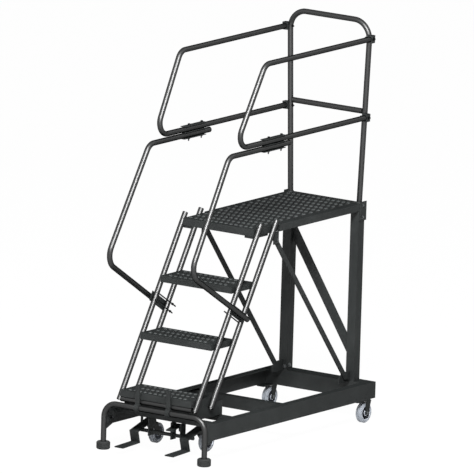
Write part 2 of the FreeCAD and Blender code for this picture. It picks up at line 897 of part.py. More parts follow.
def stringer_clamp(name, side):
    """The plate between the foot of the stair rail and the two stringers."""
    end_up = cell("stair_rail_end_height")
    run, drop = stair_rail_end - stair_rail_toe, cell("stair_rail_toe_height") - end_up
    half = cell("stringer_plate_width") / 2
    span = cell("stringer_pair")
    corners = [(-span, -half), (0, -half), (0, half), (-span, half)]
    body = plate(
        name, "YZ_Plane", corners, cell("stringer_plate_thickness"), reverse=side < 0,
    )
    across = mirrored(side, stringer_half_spacing + tube_radius + weld_gap)
    return keep(place(
        body, across, stair_rail_end, end_up, axis=(-1, 0, 0), angle=slope_angle(drop, run),
    ))


def leg_strap(name, across):
    """A flat upright in front of the first tread, on a lug that rings the leg tube."""
    width = cell("strap_width")
    thick = cell("strap_thickness")
    body = new_body(name)
    ring = sketch_on(body, "YZ_Plane", f"{name}_ring")
    draw_circle(ring, (0, 0), cell("lug_diameter") / 2)
    draw_circle(ring, (0, 0), tube_radius + weld_gap)
    pad(body, ring, width, both_ways=True)
    doc.recompute()
    blade = sketch_on(body, "YZ_Plane", f"{name}_blade")
    seat = tube_radius + weld_gap * 5
    height = cell("strap_top") - cell("leg_top")
    draw_outline(blade, [(-thick, seat), (0, seat), (0, height), (-thick, height)])
    pad(body, blade, width, both_ways=True)
    return place(body, across, as_size(0), cell("leg_top"))


def fork(name, lean):
    """Two tapered legs on a crown, with the fixed axle pin; the crown lies back by the lean."""
    gap = cell("wheel_width") / 2 + cell("fork_gap") / 2
    outer = gap + cell("fork_thickness")
    crown = cell("wheel_diameter") / 2 + cell("fork_gap")
    top = crown + cell("caster_plate_thickness")
    end = cell("fork_end")
    half = cell("fork_width") / 2
    body = new_body(name)
    legs = sketch_on(body, "YZ_Plane", f"{name}_legs")
    draw_outline(legs, [(-end, -end), (end, -end), (lean + half, top), (lean - half, top)])
    pad(body, legs, outer * 2, both_ways=True)
    doc.recompute()
    slot = sketch_on(body, "XZ_Plane", f"{name}_slot")
    draw_outline(slot, [(-gap, -2 * end), (gap, -2 * end), (gap, crown), (-gap, crown)])
    cut = body.newObject("PartDesign::Pocket", f"{name}_cut")
    cut.Profile = slot
    cut.Type = "ThroughAll"
    cut.Midplane = True
    doc.recompute()
    pin = sketch_on(body, "YZ_Plane", f"{name}_axle")
    draw_circle(pin, (0, 0), cell("axle_diameter") / 2)
    pad(body, pin, outer * 2 + cell("fork_thickness") * 2, both_ways=True)
    doc.recompute()
    return body


def rise_from(body, role, name, start, draw, length):
    """Adds a feature that rises from a level over the body's origin."""
    sketch = sketch_on(body, role, f"{body.Name}_{name}")
    draw(sketch)
    sketch.AttachmentOffset = FreeCAD.Placement(
        FreeCAD.Vector(0, 0, start.number), FreeCAD.Rotation()
    )
    sketch.setExpression("AttachmentOffset.Base.z", start.formula)
    pad(body, sketch, length)
    doc.recompute()


def wheel(name):
    """A wheel turned about X: rounded tread, sunk faces and a hub bored for the axle."""
    radius = cell("wheel_diameter") / 2
    half = cell("wheel_width") / 2
    bore = cell("axle_diameter") / 2 + cell("running_gap")
    edge = half / 3
    web = half / 2
    hub = radius / 3
    rim = radius * 0.7
    body = new_body(name)
    section = sketch_on(body, "XZ_Plane", f"{name}_section")
    draw_outline(section, [
        (-half, bore), (half, bore), (half, hub), (web, hub), (web, rim), (half, rim),
        (half, radius - edge), (half - edge, radius), (edge - half, radius),
        (-half, radius - edge), (-half, rim), (-web, rim), (-web, hub), (-half, hub),
    ])
    turn = body.newObject("PartDesign::Revolution", f"{name}_turned")
    turn.Profile = section
    turn.ReferenceAxis = (section, ["H_Axis"])
    turn.Angle = 360
    return body


def rear_casters():
    """Fixed casters, each bolted by a long plate under the rail and the rear cross member."""
    centre = cell("wheel_diameter") / 2
    crown_top = centre + cell("fork_gap") + cell("caster_plate_thickness")
    back = cell("rear_wheel_back")
    plate_front = cell("caster_plate_front") - back
    plate_rear = plate_front + cell("caster_plate_length")
    edge = rail_outer_half - cell("rear_wheel_half")
    for side_name, side in (("left", -1), ("right", 1)):
        across = mirrored(side, cell("rear_wheel_half"))
        holder = fork(f"{side_name}_rear_fork", cell("fork_lean"))
        rise_from(
            holder, "XY_Plane", "plate", crown_top,
            lambda sketch: draw_outline(sketch, [
                (-edge, plate_front), (edge, plate_front), (edge, plate_rear),
                (-edge, plate_rear),
            ]),
            rail_underside - centre - crown_top,
        )
        keep(place(holder, across, back, centre))
        roller = wheel(f"{side_name}_rear_wheel")
        keep(place(roller, across, back, centre))


lock_angle = cell("lock_angle")


def on_pedals(along, up):
    """Turns a point of the level pedal frame, taken from the pivot, into the locked pose."""
    back = cell("pivot_back") + along * cosine(lock_angle) - up * sine(lock_angle)
    height = cell("pivot_height") + along * sine(lock_angle) + up * cosine(lock_angle)
    return back, height


def pedal_frame():
    """Two bent pedal bars that end in caster plates, welded on the pivot rod."""
    radius = cell("pivot_rod") / 2
    rod = radius * 0.75
    thick = cell("pedal_thickness")
    width = cell("pedal_width")
    elbow = -cell("pedal_elbow")
    drop = rod + thick - cell("pedal_drop")
    tip = elbow - cell("pedal_reach")
    lift = drop + cell("pedal_lift")
    tail = cell("pedal_tail")
    bar = [
        (elbow, rod + thick), (elbow, drop + thick), (tip, lift + thick), (tip, lift),
        (elbow + thick, drop), (elbow + thick, rod), (tail, rod), (tail, rod + thick),
    ]
    body = new_body("pedal_frame")
    shaft = sketch_on(body, "YZ_Plane", "pedal_frame_rod")
    draw_circle(shaft, (0, 0), radius)
    pad(body, shaft, cell("front_wheel_half") * 2 + width, both_ways=True)
    doc.recompute()
    for side_name, side in (("left", -1), ("right", 1)):
        across = mirrored(side, cell("front_wheel_half"))
        outline = sketch_on(body, "YZ_Plane", f"pedal_frame_{side_name}")
        draw_outline(outline, bar)
        start = across - width / 2
        outline.AttachmentOffset = FreeCAD.Placement(
            FreeCAD.Vector(0, 0, start.number), FreeCAD.Rotation()
        )
        outline.setExpression("AttachmentOffset.Base.z", start.formula)
        pad(body, outline, width)
        doc.recompute()
        bore = sketch_on(body, "XY_Plane", f"pedal_frame_{side_name}_bore")
        centre = (across, cell("caster_back"))
        draw_circle(bore, centre, cell("kingpin_diameter") / 2 + cell("running_gap"))
        cut = body.newObject("PartDesign::Pocket", f"pedal_frame_{side_name}_cut")
        cut.Profile = bore
        cut.Type = "ThroughAll"
        cut.Midplane = True
        doc.recompute()
    keep(place(
        body, 0, cell("pivot_back"), cell("pivot_height"), axis=(1, 0, 0), angle=lock_angle,
    ))


def front_casters():
    """Swivel casters: the wheel trails behind a round bearing and its kingpin."""
    rod = cell("pivot_rod") / 2 * 0.75
    trail = cell("caster_trail")
    bar_low = cell("caster_height") - cell("wheel_diameter") / 2
    bar_high = bar_low + cell("pedal_thickness")
    back, height = on_pedals(cell("caster_back") + trail, rod - bar_low)
    crown_top = (
        cell("wheel_diameter") / 2 + cell("fork_gap") + cell("caster_plate_thickness")
    )
    pin = cell("kingpin_diameter") / 2
    for side_name, side in (("left", -1), ("right", 1)):
        across = mirrored(side, cell("front_wheel_half"))
        holder = fork(f"{side_name}_front_fork", -trail)
        rounds = (
            ("bearing", crown_top, cell("swivel_diameter") / 2, bar_low - weld_gap),
            ("kingpin", bar_low - weld_gap, pin, bar_high + weld_gap),
            ("head", bar_high + weld_gap, pin * 2, bar_high + weld_gap + cell("kingpin_head")),
        )
        for name, start, radius, end in rounds:
            rise_from(
                holder, "XY_Plane", name, start,
                lambda sketch: draw_circle(sketch, (0, -trail), radius), end - start,
            )
        keep(place(holder, across, back, height, axis=(1, 0, 0), angle=lock_angle))
        roller = wheel(f"{side_name}_front_wheel")
        keep(place(roller, across, back, height, axis=(1, 0, 0), angle=lock_angle))


def pivot_bracket(name, across, pin_hole):
    """A hanging plate under the front cross member, bored for the pivot rod."""
    width = cell("bracket_width")
    member = rail_top - rail_thickness - cell("front_member_height")
    hang = member - cell("pivot_height")
    rod = cell("pivot_rod") / 2 + cell("running_gap")
    reach = width / 2
    holes = [((0, 0), rod)]
    if pin_hole:
        pin_back = cell("release_back") - cell("pivot_back")
        pin_up = cell("release_height") - cell("pivot_height")
        holes.append(((pin_back, pin_up), cell("release_pin") / 2 + cell("running_gap")))
    corners = [(-reach, -reach), (reach, -reach), (reach, hang), (-reach, hang)]
    body = plate(name, "YZ_Plane", corners, cell("bracket_thickness"), True, holes=holes)
    return place(body, across, cell("pivot_back"), cell("pivot_height"))


def release_pedal():
    """The small treadle between the two right brackets, with its pin across them."""
    length = cell("release_length")
    thick = cell("strap_thickness")
    pin = cell("release_pin") / 2
    body = new_body("release_pedal")
    shaft = sketch_on(body, "YZ_Plane", "release_pedal_pin")
    draw_circle(shaft, (0, 0), pin)
    span = cell("release_width") + 2 * cell("release_side_gap")
    pad(body, shaft, span + 2 * cell("bracket_thickness"), both_ways=True)
    doc.recompute()
    blade = sketch_on(body, "YZ_Plane", "release_pedal_blade")
    draw_outline(blade, [
        (-length, -thick / 2), (pin, -thick / 2), (pin, thick / 2), (-length, thick / 2),
    ])
    pad(body, blade, cell("release_width"), both_ways=True)
    doc.recompute()
    latch = sketch_on(body, "YZ_Plane", "release_pedal_latch")
    half = cell("latch_width") / 2
    drop = -cell("latch_drop")
    draw_outline(latch, [(-half, drop), (half, drop), (half, 0), (-half, 0)])
    pad(body, latch, thick, both_ways=True)
    keep(place(
        body, cell("release_centre"), cell("release_back"), cell("release_height"),
        axis=(1, 0, 0), angle=cell("release_tilt"),
    ))


def lock_mechanism():
    pedal_frame()
    front_casters()
    reach = cell("release_width") / 2 + cell("release_side_gap") + cell("bracket_thickness") / 2
    group("pivot_brackets", [
        pivot_bracket("left_pivot_bracket", cell("left_bracket"), False),
        pivot_bracket("inner_pivot_bracket", cell("release_centre") - reach, True),
        pivot_bracket("outer_pivot_bracket", cell("release_centre") + reach, True),
    ])
    release_pedal()
    pedal_stop()


def pedal_stop():
    """A short stud that hangs from the front cross member over the left pedal bar."""
    member = rail_top - rail_thickness - cell("front_member_height")
    body = new_body("pedal_stop")
    section = sketch_on(body, "XY_Plane", "pedal_stop_section")
    draw_circle(section, (0, 0), cell("stop_diameter") / 2)
    pad(body, section, member - cell("stop_height"))
    keep(place(body, cell("stop_across"), cell("stop_back"), cell("stop_height")))


base_frame()
front_leg()
front_gussets("left_front_gusset", -1)
front_gussets("right_front_gusset", 1)
stringers()
step_cross_tube()
for number in range(3):
    tread(f"tread_{number + 1}", number)
deck()
for side_name, side in (("left", -1), ("right", 1)):
    rear_post(f"{side_name}_rear_post", side)
    side_brace(f"{side_name}_side_brace", side)
    post_gusset(f"{side_name}_post_gusset", side)
rear_diagonal()
rear_handrail()
rear_mid_rail()
for side_name, side in (("left", -1), ("right", 1)):
    guard_rail(f"{side_name}_guard_rail", side)
    stair_rail(f"{side_name}_stair_rail", side)
    group(f"{side_name}_post_clamps", [
        post_clamp(f"{side_name}_upper_clamp", side, cell("guard_top")),
        post_clamp(f"{side_name}_lower_clamp", side, cell("guard_mid")),
    ])
    joint_clamp(f"{side_name}_joint_clamp", side)
    stringer_clamp(f"{side_name}_stringer_clamp", side)
group("leg_straps", [
    leg_strap("left_leg_strap", cell("left_strap")),
    leg_strap("right_leg_strap", cell("right_strap")),
])
rear_casters()
lock_mechanism()

doc.recompute()
for item in doc.Objects:
    for fault in ("Invalid", "Error"):
        if fault in item.State:
            raise RuntimeError(f"{item.Name} is in state {item.State}")
for piece in nodes:
    shape = piece.Shape
    if shape.isNull() or not shape.isValid():
        raise RuntimeError(f"{piece.Label} has no valid shape")
for piece in nodes:
    piece.Shape.exportStep(f"parts/{piece.Label}.step")
    bounds = piece.Shape.BoundBox
    print(f"{piece.Label:24s} {len(piece.Shape.Solids)} {piece.Shape.Volume / 1000:10.1f} cm3"
          f" x {bounds.XMin:8.1f} {bounds.XMax:8.1f} y {bounds.YMin:8.1f} {bounds.YMax:8.1f}"
          f" z {bounds.ZMin:8.1f} {bounds.ZMax:8.1f}")
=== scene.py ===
# %% [markdown]
# # Mobile work platform: from plain solids to the painted steel thing
# The CAD model gives every solid its size and place. This lesson adds what a
# shopper would see: the powder coat, the punched grip of the steps, the bolts
# and the grey wheels. The frame is loaded first, and its box is noted, because
# nothing added here may reach outside it.

import math

import bmesh
import bpy
from mathutils import Matrix, Vector


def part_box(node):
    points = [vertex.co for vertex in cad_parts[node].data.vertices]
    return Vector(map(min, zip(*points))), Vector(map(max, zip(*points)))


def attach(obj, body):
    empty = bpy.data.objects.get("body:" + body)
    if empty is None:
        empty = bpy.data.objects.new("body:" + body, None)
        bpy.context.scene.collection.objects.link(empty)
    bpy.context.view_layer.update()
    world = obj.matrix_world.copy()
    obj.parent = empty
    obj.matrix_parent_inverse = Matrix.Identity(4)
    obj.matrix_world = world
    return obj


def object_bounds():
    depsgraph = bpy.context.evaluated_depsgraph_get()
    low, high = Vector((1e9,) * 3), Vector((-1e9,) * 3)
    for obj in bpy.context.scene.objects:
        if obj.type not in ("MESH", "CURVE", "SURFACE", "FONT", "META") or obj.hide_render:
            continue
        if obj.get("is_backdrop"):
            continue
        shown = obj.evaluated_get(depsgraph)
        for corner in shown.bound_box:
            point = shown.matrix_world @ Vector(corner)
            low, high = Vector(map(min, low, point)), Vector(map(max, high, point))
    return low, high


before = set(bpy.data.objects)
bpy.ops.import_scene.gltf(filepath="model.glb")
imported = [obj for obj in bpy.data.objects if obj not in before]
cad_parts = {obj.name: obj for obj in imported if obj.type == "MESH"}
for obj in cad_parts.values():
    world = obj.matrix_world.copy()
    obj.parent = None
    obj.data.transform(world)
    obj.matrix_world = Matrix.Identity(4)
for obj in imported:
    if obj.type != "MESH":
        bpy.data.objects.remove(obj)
cad_low, cad_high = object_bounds()
scene = bpy.context.scene
print("CAD box, m:", [round(v, 4) for v in (*cad_low, *cad_high)])

# %% [markdown]
# ## Small helpers
# Sizes are written in millimetres, as a drawing gives them, and colours as the
# sRGB hex values that a colour picker shows. Blender's shaders work in linear
# light, so one function turns a hex value into linear numbers. The others add
# nodes, start and finish a node tree, and set the width of a noise.

# %% Millimetres and colours
MM = 0.001


def linear(hex_colour):
    """Linear RGBA of an sRGB hex colour such as #2B2D2D."""
    parts = [int(hex_colour[i : i + 2], 16) / 255 for i in (1, 3, 5)]
    return [
        p / 12.92 if p <= 0.04045 else ((p + 0.055) / 1.055) ** 2.4 for p in parts
    ] + [1.0]


def add_node(tree, kind, settings=None, links=None):
    """Add a node, set its properties or input values, and link its inputs."""
    node = tree.nodes.new(kind)
    for name, value in (settings or {}).items():
        if isinstance(name, str) and hasattr(node, name):
            setattr(node, name, value)
        else:
            node.inputs[name].default_value = value
    for name, output in (links or {}).items():
        tree.links.new(output, node.inputs[name])
    return node


def bare_tree(name):
    """A new material and its emptied node tree."""
    material = bpy.data.materials.new(name)
    material.use_nodes = True
    material.node_tree.nodes.clear()
    return material, material.node_tree


def finish_tree(tree, shader, kind="ShaderNodeOutputMaterial"):
    """Send a shader node to the output of its tree."""
    add_node(tree, kind, {}, {"Surface": shader.outputs[0]})


def noise(tree, place, width, detail, roughness=0.5):
    """Noise whose pattern is about one width wide, in metres."""
    return add_node(
        tree,
        "ShaderNodeTexNoise",
        {"Scale": 1 / width, "Detail": detail, "Roughness": roughness},
        {"Vector": place},
    )


print("black paint in linear light:", [round(v, 3) for v in linear("#2B2D2D")])

# %% [markdown]
# ## The camera
# The photograph was taken from far away: lines that are parallel on the object
# stay parallel in it. An orthographic camera would do that too, but a very long
# lens is a real camera, and other views can move it. The direction, the slight
# roll and the point in the middle of the picture were fitted to edges of the
# object whose real lengths are known.

# %% Camera
VIEW_AZIMUTH = math.radians(34.79)
VIEW_ELEVATION = math.radians(11.40)
VIEW_ROLL = math.radians(1.72)
PICTURE_MIDDLE = Vector((-4.2, -24.2, 982.9)) * MM
PICTURE_WIDTH = 2284.3 * MM
CAMERA_DISTANCE = 105.0

toward_camera = Vector(
    (
        math.sin(VIEW_AZIMUTH) * math.cos(VIEW_ELEVATION),
        -math.cos(VIEW_AZIMUTH) * math.cos(VIEW_ELEVATION),
        math.sin(VIEW_ELEVATION),
    )
)
camera_data = bpy.data.cameras.new("long_lens")
camera_data.sensor_width = 36
camera_data.lens = 36 * CAMERA_DISTANCE / PICTURE_WIDTH
camera_data.clip_end = 400
camera = bpy.data.objects.new("camera", camera_data)
scene.collection.objects.link(camera)
camera.location = PICTURE_MIDDLE + toward_camera * CAMERA_DISTANCE
turn = (-toward_camera).to_track_quat("-Z", "Y").to_matrix().to_4x4()
camera.rotation_euler = (turn @ Matrix.Rotation(VIEW_ROLL, 4, "Z")).to_euler()
scene.camera = camera
print("lens, mm:", round(camera_data.lens, 1))

# %% [markdown]
# ## Floor and background
# A product picture on white has no horizon. A large pale floor fills the frame
# here. Seen straight from the camera it glows, and the lamps add only a thin
# veil of light to it, so that it is just white where they reach it and keeps a
# soft shadow under the object. A brighter floor would not look whiter, but it
# would eat the dark edges of the thin tubes. Reflections in the paint see the
# same white surroundings, through the Light Path node.

# %% Floor and world
FLOOR_HALF = 60.0
FLOOR_GLOW = 0.985
AMBIENT_LEVEL = 0.1


def by_ray(tree, hidden, shown):
    """Mix two shaders: the second for rays from the eye, a mirror or glass."""
    light_path = add_node(tree, "ShaderNodeLightPath").outputs
    direct = light_path["Is Camera Ray"]
    for other in ("Is Glossy Ray", "Is Transmission Ray"):
        direct = add_node(
            tree,
            "ShaderNodeMath",
            {"operation": "MAXIMUM"},
            {0: direct, 1: light_path[other]},
        ).outputs[0]
    return add_node(
        tree,
        "ShaderNodeMixShader",
        {},
        {0: direct, 1: hidden.outputs[0], 2: shown.outputs[0]},
    )


floor_mesh = bpy.data.meshes.new("floor")
corners = [(-1, -1, 0), (1, -1, 0), (1, 1, 0), (-1, 1, 0)]
floor_mesh.from_pydata([Vector(c) * FLOOR_HALF for c in corners], [], [(0, 1, 2, 3)])
floor = bpy.data.objects.new("floor", floor_mesh)
scene.collection.objects.link(floor)
floor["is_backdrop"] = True

floor_paint, tree = bare_tree("pale_studio_floor")
matt = add_node(tree, "ShaderNodeBsdfDiffuse", {"Color": linear("#F2F2F2")})
veil = add_node(tree, "ShaderNodeBsdfDiffuse", {"Color": linear("#2B2B2B")})
glow = add_node(tree, "ShaderNodeEmission", {"Strength": FLOOR_GLOW})
lit = add_node(
    tree, "ShaderNodeAddShader", {}, {0: veil.outputs[0], 1: glow.outputs[0]}
)
finish_tree(tree, by_ray(tree, matt, lit))
floor_mesh.materials.append(floor_paint)

world = bpy.data.worlds.new("studio")
scene.world = world
world.use_nodes = True
tree = world.node_tree
tree.nodes.clear()
seen = add_node(tree, "ShaderNodeBackground", {"Strength": 1.0})
filling = add_node(tree, "ShaderNodeBackground", {"Strength": AMBIENT_LEVEL})
finish_tree(tree, by_ray(tree, filling, seen), "ShaderNodeOutputWorld")
scene.view_settings.view_transform = "Standard"
print("floor reaches, m:", FLOOR_HALF)

# %% [markdown]
# ## Lamps
# The sloping tubes in the photograph carry one narrow pale streak, while the
# upright and level ones stay grey. A round tube mirrors only the lamps whose
# direction makes the same angle with it as the eye does, so the streak says
# where the lamp hangs: in front, about 40 degrees up. It is a soft box of
# middling size and does nearly all the work, so the undersides stay dark. The
# streak runs on unbroken where the deck shades the tubes, so the shading and
# the gloss come from two lamps in one place: the first casts the shadows, and
# the second shows in the gloss alone. Two wide, weak ones fill the sides.

# %% Lamps


def soft_box(name, azimuth, elevation, distance, width, height, power):
    """A rectangular lamp aimed at the middle of the object."""
    data = bpy.data.lights.new(name, "AREA")
    data.shape = "RECTANGLE"
    data.size = width
    data.size_y = height
    data.energy = power
    lamp = bpy.data.objects.new(name, data)
    scene.collection.objects.link(lamp)
    around = math.radians(azimuth)
    above = math.radians(elevation)
    direction = Vector(
        (
            math.sin(around) * math.cos(above),
            -math.cos(around) * math.cos(above),
            math.sin(above),
        )
    )
    middle = (cad_low + cad_high) / 2
    lamp.location = middle + direction * distance
    lamp.rotation_euler = (-direction).to_track_quat("-Z", "Y").to_euler()
    return lamp


KEY_PLACE = (38, 40, 5.0, 2.0, 1.0)
key = soft_box("key_soft_box", *KEY_PLACE, 650)
key.visible_glossy = False
glint = soft_box("glint_soft_box", *KEY_PLACE, 720)
glint.visible_diffuse = False
glint.data.use_shadow = False
soft_box("left_fill", -60, 25, 6.0, 3.0, 3.0, 40)
soft_box("back_fill", 150, 40, 6.0, 3.0, 3.0, 60)

# %% [markdown]
# ## Black powder coat
# The platform is welded from mild steel and powder coated: a dry paint is
# sprayed on and baked to a hard plastic skin. The skin gives a satin gloss with
# a fine orange-peel ripple, and it thins and shines a little along sharp edges.
# The ripple of the real coat is about 1 mm wide, finer than a pixel here, so it
# is drawn 7 mm wide. The coat is an insulator, so metallic is 0 and its IOR is
# that of polyester, 1.5. Its grain breaks the mirror up at a flat glance, so the
# gloss fades where the face turns away, which a Layer Weight node can tell.

# %% Powder coat
RIPPLE_WIDTH = 7 * MM
CLOUD_WIDTH = 160 * MM
EDGE_ROUNDING = 1.5 * MM


def powder_coat(name, dark, light, roughness, gloss, ripple):
    """Baked satin paint with a soft ripple, whose gloss fades at a flat glance."""
    material, tree = bare_tree(name)
    place = add_node(tree, "ShaderNodeTexCoord").outputs["Object"]
    cloud = noise(tree, place, CLOUD_WIDTH, 4.0, 0.6)
    tone = add_node(tree, "ShaderNodeValToRGB", {}, {"Fac": cloud.outputs["Fac"]})
    tone.color_ramp.elements[0].position = 0.3
    tone.color_ramp.elements[0].color = linear(dark)
    tone.color_ramp.elements[1].position = 0.7
    tone.color_ramp.elements[1].color = linear(light)
    rough = add_node(
        tree,
        "ShaderNodeMapRange",
        {
            "From Min": 0.3,
            "From Max": 0.7,
            "To Min": roughness - 0.03,
            "To Max": roughness + 0.03,
        },
        {"Value": cloud.outputs["Fac"]},
    )
    glance = add_node(tree, "ShaderNodeLayerWeight", {"Blend": 0.5})
    level = add_node(
        tree,
        "ShaderNodeMapRange",
        {"From Min": 0.05, "From Max": 0.6, "To Min": gloss, "To Max": 0.0},
        {"Value": glance.outputs["Facing"]},
    )
    peel = noise(tree, place, RIPPLE_WIDTH, 2.0)
    rounded = add_node(tree, "ShaderNodeBevel", {"samples": 4, "Radius": EDGE_ROUNDING})
    bump = add_node(
        tree,
        "ShaderNodeBump",
        {"Strength": ripple, "Distance": 0.2 * MM},
        {"Height": peel.outputs["Fac"], "Normal": rounded.outputs[0]},
    )
    coat = add_node(
        tree,
        "ShaderNodeBsdfPrincipled",
        {"IOR": 1.5, "Metallic": 0.0},
        {
            "Base Color": tone.outputs["Color"],
            "Roughness": rough.outputs["Result"],
            "Specular IOR Level": level.outputs["Result"],
            "Normal": bump.outputs["Normal"],
        },
    )
    finish_tree(tree, coat)
    return material


# Each row: dark tone, light tone, roughness, gloss, ripple.
COATS = {
    "black_powder_coat_on_plate": ("#202222", "#292B2B", 0.50, 0.2, 0.7),
    "black_powder_coat_on_tube": ("#0B0C0C", "#0F1010", 0.42, 0.75, 0.0),
    "black_powder_coat_on_tread": ("#202222", "#292B2B", 0.50, 0.2, 0.7),
    # Knobs: lighter than the sheet. This is partly rubbed paint and partly a painted
    # highlight of the knobs.
    "rubbed_and_highlit_coat_on_knob": ("#323535", "#3E4141", 0.40, 0.5, 0.1),
    "black_paint_on_pressed_fork": ("#151717", "#1B1E1E", 0.45, 0.3, 0.3),
}
plate_coat, tube_coat, grip_coat, knob_wear_and_highlight_coat, fork_coat = (
    powder_coat(name, *values) for name, values in COATS.items()
)
print("coats:", list(COATS))

# %% [markdown]
# ## Rubber
# The feet of the front tube are moulded rubber: matt, nearly black, with a
# fine grain that scatters light. The wheels are a grey non-marking rubber tread
# bonded to a harder centre, so the material is ringed: it reads the distance
# from the axle and changes tone from hub to tread. A Mapping node puts the axle
# of each wheel at the middle of its pattern.

# %% Rubber
GRAIN_WIDTH = 4 * MM
HUB_TONE, TREAD_TONE = "#6A6E74", "#7C8188"
# Share of the radius at which each tone starts or ends.
WHEEL_RINGS = (
    (0.26, "#6E7278"),
    (0.30, "#A8ADB6"),
    (0.66, "#B0B5BE"),
    (0.70, "#8A8F97"),
)


def moulded_rubber(name, dark, light):
    """Matt rubber with a fine cast grain."""
    material, tree = bare_tree(name)
    place = add_node(tree, "ShaderNodeTexCoord").outputs["Object"]
    grain = noise(tree, place, GRAIN_WIDTH, 3.0)
    tone = add_node(tree, "ShaderNodeValToRGB", {}, {"Fac": grain.outputs["Fac"]})
    tone.color_ramp.elements[0].color = linear(dark)
    tone.color_ramp.elements[1].color = linear(light)
    bump = add_node(
        tree,
        "ShaderNodeBump",
        {"Strength": 0.3, "Distance": 0.3 * MM},
        {"Height": grain.outputs["Fac"]},
    )
    rubber = add_node(
        tree,
        "ShaderNodeBsdfPrincipled",
        {"IOR": 1.52, "Roughness": 0.75, "Specular IOR Level": 0.25},
        {"Base Color": tone.outputs["Color"], "Normal": bump.outputs["Normal"]},
    )
    finish_tree(tree, rubber)
    return material


foot_rubber = moulded_rubber("moulded_black_foot_rubber", "#1A1B1B", "#242626")


def wheel_rubber(node_name):
    """Grey wheel whose tone changes from hub to tread, centred on its axle."""
    low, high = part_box(node_name)
    axle = (low + high) / 2
    radius = (high.z - low.z) / 2
    material, tree = bare_tree(f"grey_rubber_of_{node_name}")
    place = add_node(tree, "ShaderNodeTexCoord").outputs["Object"]
    centred = add_node(
        tree,
        "ShaderNodeMapping",
        {"Location": -axle},
        {"Vector": place},
    )
    apart = add_node(
        tree, "ShaderNodeSeparateXYZ", {}, {"Vector": centred.outputs["Vector"]}
    )
    flat = add_node(
        tree,
        "ShaderNodeCombineXYZ",
        {"X": 0.0},
        {"Y": apart.outputs["Y"], "Z": apart.outputs["Z"]},
    )
    reach = add_node(
        tree,
        "ShaderNodeVectorMath",
        {"operation": "LENGTH"},
        {0: flat.outputs["Vector"]},
    )
    share = add_node(
        tree,
        "ShaderNodeMapRange",
        {"From Min": 0.0, "From Max": radius},
        {"Value": reach.outputs["Value"]},
    )
    rings = add_node(tree, "ShaderNodeValToRGB", {}, {"Fac": share.outputs["Result"]})
    ramp = rings.color_ramp
    ramp.elements[0].color = linear(HUB_TONE)
    ramp.elements[1].color = linear(TREAD_TONE)
    for position, colour in WHEEL_RINGS:
        ramp.elements.new(position).color = linear(colour)
    grain = noise(tree, place, GRAIN_WIDTH, 3.0)
    bump = add_node(
        tree,
        "ShaderNodeBump",
        {"Strength": 0.2, "Distance": 0.3 * MM},
        {"Height": grain.outputs["Fac"]},
    )
    rubber = add_node(
        tree,
        "ShaderNodeBsdfPrincipled",
        {"IOR": 1.5, "Roughness": 0.55},
        {"Base Color": rings.outputs["Color"], "Normal": bump.outputs["Normal"]},
    )
    finish_tree(tree, rubber)
    return material


wheel_names = [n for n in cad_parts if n.endswith("_wheel")]
wheel_rubbers = {n: wheel_rubber(n) for n in wheel_names}
print("wheels:", sorted(wheel_rubbers))

# %% [markdown]
# ## Paint the CAD solids
# Each solid keeps its shape and gets its real finish in its material slots.
# Tubes, plates and forks are the same paint, but a drawn tube is smoother under
# it than a folded plate, so it looks glossier.

# %% Finishes on the solids
TUBES = (
    "front_leg_tube step_cross_tube left_front_stringer right_front_stringer "
    "left_rear_stringer right_rear_stringer rear_handrail rear_mid_rail "
    "left_guard_rail right_guard_rail left_stair_rail right_stair_rail"
).split()


def finish_of(name):
    """The material that the real piece has."""
    if name in wheel_rubbers:
        return wheel_rubbers[name]
    if name.endswith("foot_tip"):
        return foot_rubber
    if name in TUBES:
        return tube_coat
    if name.endswith("fork"):
        return fork_coat
    if name == "deck" or name.startswith("tread"):
        return grip_coat
    return plate_coat


for name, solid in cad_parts.items():
    if not solid.material_slots:
        solid.data.materials.append(None)
    for place in solid.material_slots:
        place.material = finish_of(name)
print("painted solids:", len(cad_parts))

# %% [markdown]
# ## Grip of knobs and holes
# The deck and the steps are sheet steel. Rows of knobs are pressed up from
# below, so that a shoe holds, and the rows between them are punched with drain
# holes, moved half a step sideways. Knob and hole could be copied by hand, but
# there are hundreds, so Geometry Nodes lay a grid of points, shift every other
# row, and put a knob on the even rows. On the odd ones they put a flat
# near-black disc just above the sheet. The disc is painted shade that stands for
# the dark inside of a hole, and the sheet itself is not cut.

# %% A tree that grows the grip
BUTTON_STEP = 29.4
BUTTON_ROW = 31.5
HOLE_LIFT = 0.4 * MM


